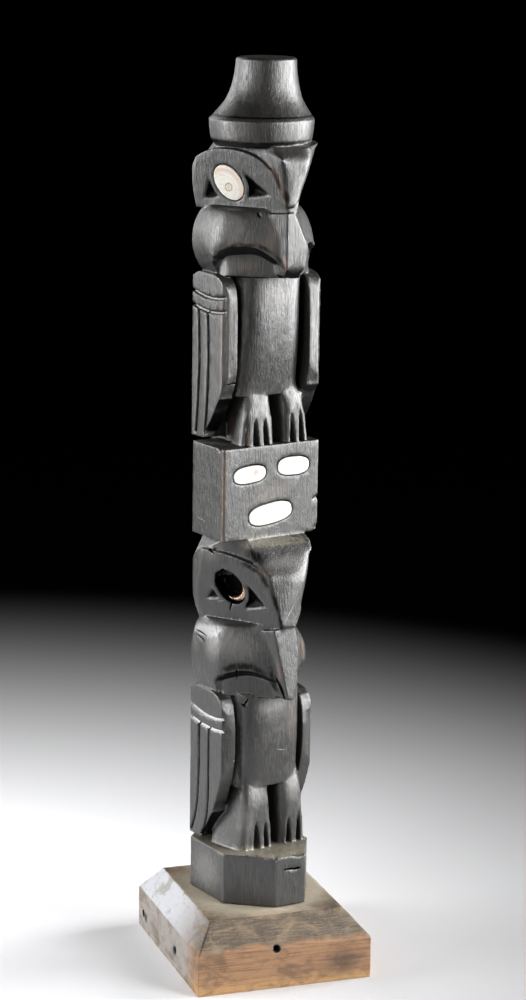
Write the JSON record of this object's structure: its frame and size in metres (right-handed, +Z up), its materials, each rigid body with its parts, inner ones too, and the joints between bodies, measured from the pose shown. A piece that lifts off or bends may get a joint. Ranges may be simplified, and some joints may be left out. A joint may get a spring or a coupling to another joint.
{
  "type": "model totem pole",
  "caption": "Carved black wooden model totem pole: birds with shell-inlaid eyes, a box with an inlaid face between them and a flared hat on top, on a weathered chamfered base.",
  "frame": {"origin": "middle of the base's underside, on the table", "axes": "+Z up the pole, -Y out of the base's front edge, +X to the right seen from the front"},
  "size_m": [0.08, 0.091, 0.4],
  "materials": {
    "blackened_wood": "satin black paint or stain, rubbed through to brown wood on the edges",
    "bare_wood": "bare weathered wood, matt",
    "shell": "polished creamy shell"
  },
  "bodies": {
    "root": {"base": "bare_wood", "pole": "blackened_wood", "box_right_eye": "shell", "box_left_eye": "shell", "box_mouth": "shell", "upper_bird_right_eye": "shell", "upper_bird_left_eye": "shell", "lower_bird_left_eye": "shell"}
  },
  "joints": []
}
